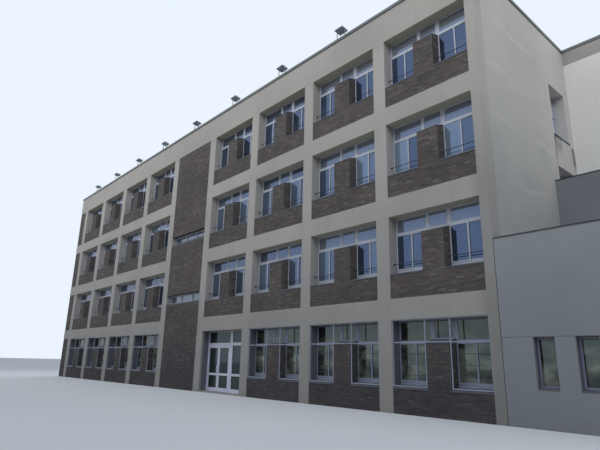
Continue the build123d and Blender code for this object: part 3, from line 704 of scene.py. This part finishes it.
def dress_nodes():
    """Give every carried-over node its finish."""
    for name, material in NODE_FINISHES.items():
        mesh = nodes[name].data
        mesh.materials.clear()
        mesh.materials.append(material)


# Brickwork
def brick_panel(width, height, seed):
    """Bricks in running bond on the XZ plane, facing -Y, from the origin up to width and height."""
    chance = random.Random(seed)
    bm = bmesh.new()
    course = BRICK_HEIGHT + JOINT
    pitch = BRICK_LENGTH + JOINT
    for row in range(math.ceil(height / course)):
        bottom = row * course
        top = min(bottom + BRICK_HEIGHT, height)
        left = -(row % 2) * pitch / 2
        while left < width:
            x0 = max(left, 0)
            x1 = min(left + BRICK_LENGTH, width)
            left += pitch
            if x1 - x0 < SMALLEST_CUT or top - bottom < SMALLEST_CUT:
                continue
            face = -BRICK_PROUD + chance.uniform(-BRICK_UNEVEN, BRICK_UNEVEN)
            bmesh.ops.create_cube(bm, size=1, matrix=placed((x0, face, bottom), (x1, 0, top)))
    return as_mesh("brick_panel", bm)


panel_store = {}
SIDE_TURNS = {"front": 0.0, "right": math.pi / 2, "rear": math.pi, "left": -math.pi / 2}


def lay_bricks(bm, width, height, matrix):
    """Lay a panel of bricks; panels of one size are made once."""
    key = (round(width, 3), round(height, 3))
    if key not in panel_store:
        panel_store[key] = brick_panel(*key, len(panel_store))
    stamp(bm, panel_store[key], matrix)


def facing(side, x, y, z):
    """Place of a panel that faces a side, from its lower left corner as seen from that side."""
    return Matrix.Translation((x, y, z)) @ Matrix.Rotation(SIDE_TURNS[side], 4, "Z")


def flat_brickwork(name, boxes, rear=False):
    """Bricks over the outer face of plain brick panels."""
    bm = bmesh.new()
    for low, high in boxes:
        if rear:
            place = facing("rear", high.x, high.y, low.z)
        else:
            place = facing("front", low.x, low.y, low.z)
        lay_bricks(bm, high.x - low.x, high.z - low.z, place)
    piece(name, bm, BRICK)


def pier_brickwork(frame_plane):
    """Bricks over the front and both sides of each pier, and a cap on its sloping top."""
    bm, caps = bmesh.new(), bmesh.new()
    for low, high in solids("front_piers"):
        depth = frame_plane - low.y
        face_height = high.z - PIER_WEATHERING - low.z
        lay_bricks(bm, high.x - low.x + 2 * BRICK_PROUD, face_height,
                   facing("front", low.x - BRICK_PROUD, low.y, low.z))
        lay_bricks(bm, depth, face_height, facing("right", high.x, low.y, low.z))
        lay_bricks(bm, depth, face_height, facing("left", low.x, frame_plane, low.z))
        cap = bmesh.new()
        bar(cap, (low.x - CAP_NOSE, -CAP_NOSE, 0),
            (high.x + CAP_NOSE, math.hypot(depth, PIER_WEATHERING), CAP_THICKNESS), CAP_EDGE)
        lean = Matrix.Rotation(math.atan2(PIER_WEATHERING, depth), 4, "X")
        stamp(caps, as_mesh("pier_cap", cap),
              Matrix.Translation((0, low.y, low.z + face_height)) @ lean)
    piece("pier_brick_courses", bm, BRICK)
    piece("pier_caps", caps, SILL)


# Windows
def sash(frames, gaskets, x0, x1, z0, z1, front, lap=SASH_LAP):
    """A sash that laps over its opening in the frame, with a gasket along the glass."""
    ring(frames, x0 - lap, x1 + lap, z0 - lap, z1 + lap, front, SASH_DEPTH, SASH_WIDTH)
    edge = SASH_WIDTH - lap
    ring(gaskets, x0 + edge, x1 - edge, z0 + edge, z1 - edge, front + PANE_SETBACK / 2,
         GASKET_DEPTH, GASKET_WIDTH, 0)


def pane(bm, x0, x1, z0, z1, front):
    """A pane behind the front of a sash, held in its edges."""
    y0 = front + PANE_SETBACK
    bar(bm, (x0 - PANE_BITE, y0, z0 - PANE_BITE),
        (x1 + PANE_BITE, y0 + PANE_THICKNESS, z1 + PANE_BITE))


def bay_frame(bm, low, high, transom_bottom):
    """Head, jambs, transom, mullions and bottom rails of one bay's frame."""
    middle = (low.x + high.x) / 2
    left, right = middle - PIER_WIDTH / 2, middle + PIER_WIDTH / 2
    transom_top = transom_bottom + TRANSOM_HEIGHT
    pier_top = high.z - TRANSOM_DROP
    foot = max(transom_top, pier_top + SASH_WIDTH)
    rail_top = low.z + SILL_BACK + BOTTOM_RAIL
    head = high.z - FRAME_HEAD

    def member(x0, x1, z0, z1):
        bar(bm, (x0, low.y, z0), (x1, high.y, z1), SOFTENED_EDGE)

    member(low.x, high.x, head, high.z)
    for x0, x1, top0, top1 in ((low.x, left, head, transom_top),
                               (right, high.x, transom_top, head)):
        member(x0 + FRAME_SIDE, x1 - FRAME_SIDE, transom_bottom, transom_top)
        member(x0 + FRAME_SIDE, x1 - FRAME_SIDE, low.z, rail_top)
        member(x0, x0 + FRAME_SIDE, low.z, top0)
        member(x1 - FRAME_SIDE, x1, low.z, top1)
    member(left, right, pier_top, foot)
    member(left - MULLION / 2, left, transom_top, head)
    member(left, left + MULLION / 2, foot, head)
    member(right - MULLION / 2, right, foot, head)
    member(right, right + MULLION / 2, transom_top, head)


def bay_windows():
    """Frames, sliding sashes beside the piers, and a sash and two fixed lights over them."""
    bars, sashes, gaskets = bmesh.new(), bmesh.new(), bmesh.new()
    upper_panes, ground_panes = bmesh.new(), bmesh.new()
    for low, high in solids("front_window_frames"):
        ground = low.z < GROUND_SILL_LIMIT
        panes = ground_panes if ground else upper_panes
        middle = (low.x + high.x) / 2
        pier_half = PIER_WIDTH / 2
        rail_top = low.z + SILL_BACK + BOTTOM_RAIL
        transom_bottom = high.z - (GROUND_TRANSOM_DROP if ground else TRANSOM_DROP)
        transom_top = transom_bottom + TRANSOM_HEIGHT
        head = high.z - FRAME_HEAD
        outer = low.y - SASH_PROUD
        bay_frame(bars, low, high, transom_bottom)
        for x0, x1 in ((low.x + FRAME_SIDE, middle - pier_half - FRAME_SIDE),
                       (middle + pier_half + FRAME_SIDE, high.x - FRAME_SIDE)):
            meeting = (x0 + x1) / 2
            over = SASH_OVERLAP - SASH_LAP
            for a, b, front in ((x0, meeting + over, outer),
                                (meeting - over, x1, outer + SASH_DEPTH)):
                sash(sashes, gaskets, a, b, rail_top, transom_bottom, front)
                pane(panes, a, b, rail_top, transom_bottom, front)
        half = MULLION / 2
        inner_left = middle - pier_half + half
        inner_right = middle + pier_half - half
        foot = max(transom_top, high.z - TRANSOM_DROP + SASH_WIDTH)
        sash(sashes, gaskets, inner_left, inner_right, foot, head, outer)
        pane(panes, inner_left, inner_right, foot, head, outer)
        for x0, x1 in ((low.x + FRAME_SIDE, inner_left - MULLION),
                       (inner_right + MULLION, high.x - FRAME_SIDE)):
            ring(sashes, x0, x1, transom_top, head, low.y + BEAD_SETBACK, SASH_DEPTH, BEAD_WIDTH)
            pane(panes, x0, x1, transom_top, head, low.y + PANE_SETBACK)
    piece("bay_window_frames", bars, WHITE_FRAME_SKY_SHADED, replaces=["front_window_frames"])
    piece("bay_window_sashes", sashes, WHITE_FRAME_SKY_SHADED)
    piece("bay_window_gaskets", gaskets, GASKET)
    piece("upper_storey_panes", upper_panes, GLASS, replaces=["front_window_glass"])
    piece("ground_storey_panes", ground_panes, GROUND_GLASS)


def stair_sashes():
    """Beads round the lights of the strip windows."""
    bm = bmesh.new()
    for low, high in solids("stair_window_frames"):
        width = (high.x - low.x - (STRIP_LIGHTS + 1) * STRIP_FRAME) / STRIP_LIGHTS
        for light in range(STRIP_LIGHTS):
            x0 = low.x + STRIP_FRAME + light * (width + STRIP_FRAME)
            ring(bm, x0, x0 + width, low.z + STRIP_SILL + STRIP_FRAME, high.z - STRIP_FRAME,
                 low.y + BEAD_SETBACK, 2 * SASH_DEPTH, BEAD_WIDTH)
    piece("strip_window_beads", bm, WHITE_FRAME_SKY_SHADED)


def end_sashes():
    """Two tiers of sashes in each window of the right end wall, made facing -Y and turned."""
    bm = bmesh.new()
    for low, high in solids("end_window_frames"):
        front = -high.x - SASH_PROUD
        transom = low.z + END_TRANSOM_SHARE * END_WINDOW_HEIGHT
        width = (high.y - low.y - 3 * FRAME_SIDE) / 2
        for x0 in (low.y + FRAME_SIDE, low.y + 2 * FRAME_SIDE + width):
            for z0, z1 in ((low.z + END_SILL + FRAME_SIDE, transom),
                           (transom + FRAME_SIDE, high.z - FRAME_SIDE)):
                ring(bm, x0 - END_LAP, x0 + width + END_LAP, z0 - END_LAP, z1 + END_LAP,
                     front, SASH_DEPTH, SASH_WIDTH)
    bmesh.ops.transform(bm, matrix=Matrix.Rotation(math.pi / 2, 4, "Z"), verts=bm.verts)
    piece("end_window_sashes", bm, WHITE_FRAME_SKY_SHADED)


def annex_sashes():
    """One grey sash in each annex window."""
    frames, gaskets = bmesh.new(), bmesh.new()
    for low, high in solids("annex_window_frames"):
        sash(frames, gaskets, low.x + ANNEX_FRAME, high.x - ANNEX_FRAME,
             low.z + ANNEX_SILL + ANNEX_FRAME, high.z - ANNEX_FRAME, low.y - SASH_PROUD, END_LAP)
    piece("annex_window_sashes", frames, GREY_FRAME)
    piece("annex_window_gaskets", gaskets, GASKET)


def rear_sashes():
    """Uprights and sashes of the rear windows, made facing -Y and turned to the rear."""
    bm = bmesh.new()
    for low, high in solids("rear_window_frames"):
        bottom = low.z + SILL_BACK + BOTTOM_RAIL
        top = high.z - REAR_FRAME
        width = (high.x - low.x - (REAR_LIGHTS + 1) * REAR_FRAME) / REAR_LIGHTS
        for light in range(REAR_LIGHTS):
            x0 = -high.x + REAR_FRAME + light * (width + REAR_FRAME)
            ring(bm, x0 - SASH_LAP, x0 + width + SASH_LAP, bottom - SASH_LAP, top + SASH_LAP,
                 -high.y - SASH_PROUD, SASH_DEPTH, SASH_WIDTH)
            if light:
                bar(bm, (x0 - REAR_FRAME, -high.y, bottom), (x0, -low.y, top))
    bmesh.ops.transform(bm, matrix=Matrix.Rotation(math.pi, 4, "Z"), verts=bm.verts)
    piece("rear_window_sashes", bm, WHITE_FRAME_SKY_SHADED)


# Rails, grilles and copings
def guard_rails():
    """Round guard rails with a flange at each end."""
    bm = bmesh.new()
    for low, high in solids("guard_bars"):
        y, z = (low.y + high.y) / 2, (low.z + high.z) / 2
        rod(bm, (low.x, y, z), (high.x, y, z), RAIL_RADIUS)
        for x, inward in ((low.x, 1), (high.x, -1)):
            rod(bm, (x, y, z), (x + inward * RAIL_FLANGE_DEPTH, y, z), RAIL_FLANGE_RADIUS,
                2 * ROUND_SIDES)
    piece("guard_rails", bm, DARK_PAINT, replaces=["guard_bars"])


def grille_wires():
    """Thin wires across the lower frames of the grilles."""
    bm = bmesh.new()
    for low, high in solids("ground_storey_grilles"):
        middle = (low.x + high.x) / 2
        inner = PIER_WIDTH / 2 + GRILLE_PIER_GAP + GRILLE_TUBE
        y = (low.y + high.y) / 2
        bottom = low.z + GRILLE_TUBE
        top = high.z - GRILLE_RAIL_DROP
        for wire in range(1, GRILLE_WIRES + 1):
            z = bottom + wire * (top - bottom) / (GRILLE_WIRES + 1)
            rod(bm, (low.x + GRILLE_TUBE, y, z), (middle - inner, y, z), WIRE_RADIUS)
            rod(bm, (middle + inner, y, z), (high.x - GRILLE_TUBE, y, z), WIRE_RADIUS)
    piece("grille_wires", bm, DARK_PAINT)


def coping_seams():
    """Cover straps over the joints between lengths of coping."""
    bm = bmesh.new()
    for low, high in solids("long_copings"):
        count = max(1, round((high.x - low.x) / SEAM_PITCH))
        for i in range(1, count):
            x = low.x + i * (high.x - low.x) / count
            back = high.y + (SEAM_PROUD if high.y < 0 else -SEAM_PROUD)
            bar(bm, (x - SEAM_WIDTH / 2, low.y - SEAM_PROUD, low.z - SEAM_PROUD),
                (x + SEAM_WIDTH / 2, back, high.z + SEAM_PROUD), SEAM_EDGE)
    piece("coping_cover_straps", bm, COPING)


# Floodlights
def lamp_housing():
    """One head at the origin that shines along -Z, with ribs across its back."""
    bm = bmesh.new()
    half_width, half_length = LAMP_WIDTH / 2, LAMP_LENGTH / 2
    bar(bm, (-half_width, -half_length, 0), (half_width, half_length, LAMP_RIM))
    back = [f for f in bm.faces if f.normal.z > 0.9]
    raised = bmesh.ops.extrude_face_region(bm, geom=back)["geom"]
    tops = [v for v in raised if isinstance(v, bmesh.types.BMVert)]
    bmesh.ops.delete(bm, geom=back, context="FACES_ONLY")
    inset = LAMP_HOUSING * math.tan(LAMP_TAPER)
    bmesh.ops.translate(bm, vec=(0, 0, LAMP_HOUSING), verts=tops)
    bmesh.ops.scale(bm, vec=(1 - inset / half_width, 1 - inset / half_length, 1), verts=tops)
    face = [f for f in bm.faces if f.normal.z < -0.9]
    bmesh.ops.inset_region(bm, faces=face, thickness=LENS_RIM, use_even_offset=True)
    bmesh.ops.translate(bm, vec=(0, 0, 2 * LENS_SETBACK), verts=face[0].verts)
    edges = [e for e in bm.edges if e.calc_face_angle(0) > LAMP_CORNER]
    bmesh.ops.bevel(bm, geom=edges, offset=LAMP_EDGE, offset_type="OFFSET", segments=2,
                    profile=0.5, affect="EDGES", material=-1)
    top = LAMP_RIM + LAMP_HOUSING
    for rib in range(RIB_COUNT):
        x = (rib - (RIB_COUNT - 1) / 2) * RIB_PITCH
        bar(bm, (x - RIB_THICKNESS / 2, inset - half_length + RIB_THICKNESS, top - RIB_RISE / 2),
            (x + RIB_THICKNESS / 2, half_length - inset - RIB_THICKNESS, top + RIB_RISE / 2),
            RIB_EDGE)
    return as_mesh("lamp_housing", bm)


def lamp_lens():
    """One pane at the origin, inside the rim of a head."""
    bm = bmesh.new()
    half_width, half_length = LAMP_WIDTH / 2 - LENS_RIM, LAMP_LENGTH / 2 - LENS_RIM
    bar(bm, (-half_width, -half_length, LENS_SETBACK), (half_width, half_length, 2 * LENS_SETBACK),
        LENS_EDGE)
    return as_mesh("lamp_lens", bm)


def floodlights():
    """Heads that shine down over the front, and the pivot bolts in their yokes."""
    bodies, lenses, bolts = bmesh.new(), bmesh.new(), bmesh.new()
    housing, lens = lamp_housing(), lamp_lens()
    for low, high in solids("floodlight_brackets"):
        x, y = (low.x + high.x) / 2, (low.y + high.y) / 2
        face = high.z - YOKE_ABOVE_PIVOT - LAMP_RIM / 2
        place = Matrix.Translation((x, y, face)) @ Matrix.Rotation(-LAMP_LEAN, 4, "X")
        stamp(bodies, housing, place)
        stamp(lenses, lens, place)
        z = face + LAMP_RIM / 2
        for x0, x1 in ((low.x - BOLT_HEAD, low.x), (high.x, high.x + BOLT_HEAD)):
            rod(bolts, (x0, y, z), (x1, y, z), BOLT_RADIUS, BOLT_SIDES)
    piece("floodlight_housings", bodies, LAMP_PAINT, replaces=["floodlight_heads"])
    piece("floodlight_lenses", lenses, LAMP_LENS)
    piece("floodlight_bolts", bolts, LAMP_PAINT)


# Studio
def plain_view(tree):
    """1 where the floor or surroundings are seen or mirrored, 0 where they light the object."""
    path = tree.nodes.new("ShaderNodeLightPath")
    seen = path.outputs["Is Camera Ray"]
    for ray in ("Is Glossy Ray", "Is Transmission Ray"):
        either = tree.nodes.new("ShaderNodeMath")
        either.operation = "MAXIMUM"
        tree.links.new(seen, either.inputs[0])
        tree.links.new(path.outputs[ray], either.inputs[1])
        seen = either.outputs["Value"]
    return seen


def floor_finish():
    """Plain pale floor."""
    finish = Finish("studio_floor", roughness=0.9)
    pale = finish.ramp(finish.noise(size=9, detail=2),
                       [(0.3, (0.60, 0.63, 0.67)), (0.7, (0.63, 0.66, 0.70))])
    finish.colour(finish.mix(plain_view(finish.tree), FLOOR_LIGHTING, pale))
    return finish.material


def studio():
    """Floor, pale surroundings, a soft sun and a softbox at each side."""
    bm = bmesh.new()
    bmesh.ops.create_circle(bm, cap_ends=True, segments=FLOOR_SIDES, radius=FLOOR_RADIUS)
    mesh = as_mesh("studio_floor", bm)
    mesh.materials.append(floor_finish())
    floor = bpy.data.objects.new("studio_floor", mesh)
    bpy.context.scene.collection.objects.link(floor)

    world = bpy.data.worlds.new("studio")
    bpy.context.scene.world = world
    world.use_nodes = True
    tree = world.node_tree
    light = tree.nodes["Background"]
    light.inputs["Color"].default_value = (*SKY_COLOUR, 1)
    light.inputs["Strength"].default_value = SKY_STRENGTH
    shown = tree.nodes.new("ShaderNodeBackground")
    shown.inputs["Color"].default_value = (*SHOWN_COLOUR, 1)
    shown.inputs["Strength"].default_value = 1.0
    mix = tree.nodes.new("ShaderNodeMixShader")
    tree.links.new(plain_view(tree), mix.inputs["Fac"])
    tree.links.new(light.outputs["Background"], mix.inputs[1])
    tree.links.new(shown.outputs["Background"], mix.inputs[2])
    tree.links.new(mix.outputs["Shader"], tree.nodes["World Output"].inputs["Surface"])

    lamp = bpy.data.lights.new("soft_key", "SUN")
    lamp.energy = KEY_STRENGTH
    lamp.angle = KEY_SPREAD
    lamp.color = KEY_COLOUR
    key = bpy.data.objects.new("soft_key", lamp)
    key.rotation_euler = (KEY_TILT, 0, KEY_TURN)
    bpy.context.scene.collection.objects.link(key)

    low, high = Vector(cad_box[0]), Vector(cad_box[1])
    middle, half = (low + high) / 2, (high - low) / 2
    for side, turn in SIDE_TURNS.items():
        reach, length = (half.y, half.x) if side in ("front", "rear") else (half.x, half.y)
        softbox(side, middle, turn, reach, 2 * length + SOFTBOX_OVERRUN)


def softbox(name, middle, turn, reach, length):
    """Long lamp above and beside one side of the building, turned down to its top storey."""
    lamp = bpy.data.lights.new(name + "_softbox", "AREA")
    lamp.shape = "RECTANGLE"
    lamp.size, lamp.size_y = length, SOFTBOX_WIDTH
    lamp.energy = SOFTBOX_RADIANCE * math.pi * length * SOFTBOX_WIDTH
    lamp.color = SOFTBOX_COLOUR
    box = bpy.data.objects.new(name + "_softbox", lamp)
    down = math.atan2(SOFTBOX_HEIGHT - SOFTBOX_TARGET, SOFTBOX_DISTANCE)
    box.matrix_world = (Matrix.Translation((middle.x, middle.y, SOFTBOX_HEIGHT))
                        @ Matrix.Rotation(turn, 4, "Z")
                        @ Matrix.Translation((0, -reach - SOFTBOX_DISTANCE, 0))
                        @ Matrix.Rotation(math.pi / 2 - down, 4, "X"))
    box.visible_camera = False
    box.visible_glossy = False
    bpy.context.scene.collection.objects.link(box)


def camera():
    """Camera at the photograph's viewing angle."""
    data = bpy.data.cameras.new("photo_view")
    data.lens = CAMERA_LENS
    data.sensor_width = SENSOR_WIDTH
    data.clip_end = CAMERA_REACH
    view = bpy.data.objects.new("photo_view", data)
    view.matrix_world = (Matrix.Translation(CAMERA_PLACE) @ Matrix.Rotation(CAMERA_YAW, 4, "Z")
                         @ Matrix.Rotation(math.pi / 2 + CAMERA_PITCH, 4, "X")
                         @ Matrix.Rotation(CAMERA_ROLL, 4, "Z"))
    bpy.context.scene.collection.objects.link(view)
    bpy.context.scene.camera = view


bpy.context.scene.view_settings.view_transform = "Standard"
dress_nodes()
window_plane = solids("front_window_frames")[0][0].y
flat_brickwork("front_brick_courses", solids("front_spandrels"))
flat_brickwork("stair_brick_courses", solids("stair_panels"))
strips = solids("end_strip_panels")
flat_brickwork("front_strip_courses", [b for b in strips if b[0].y < 0])
flat_brickwork("rear_strip_courses", [b for b in strips if b[0].y > 0], rear=True)
flat_brickwork("rear_brick_courses", solids("rear_spandrels"), rear=True)
pier_brickwork(window_plane)
bay_windows()
stair_sashes()
end_sashes()
annex_sashes()
rear_sashes()
guard_rails()
grille_wires()
coping_seams()
floodlights()
studio()
camera()
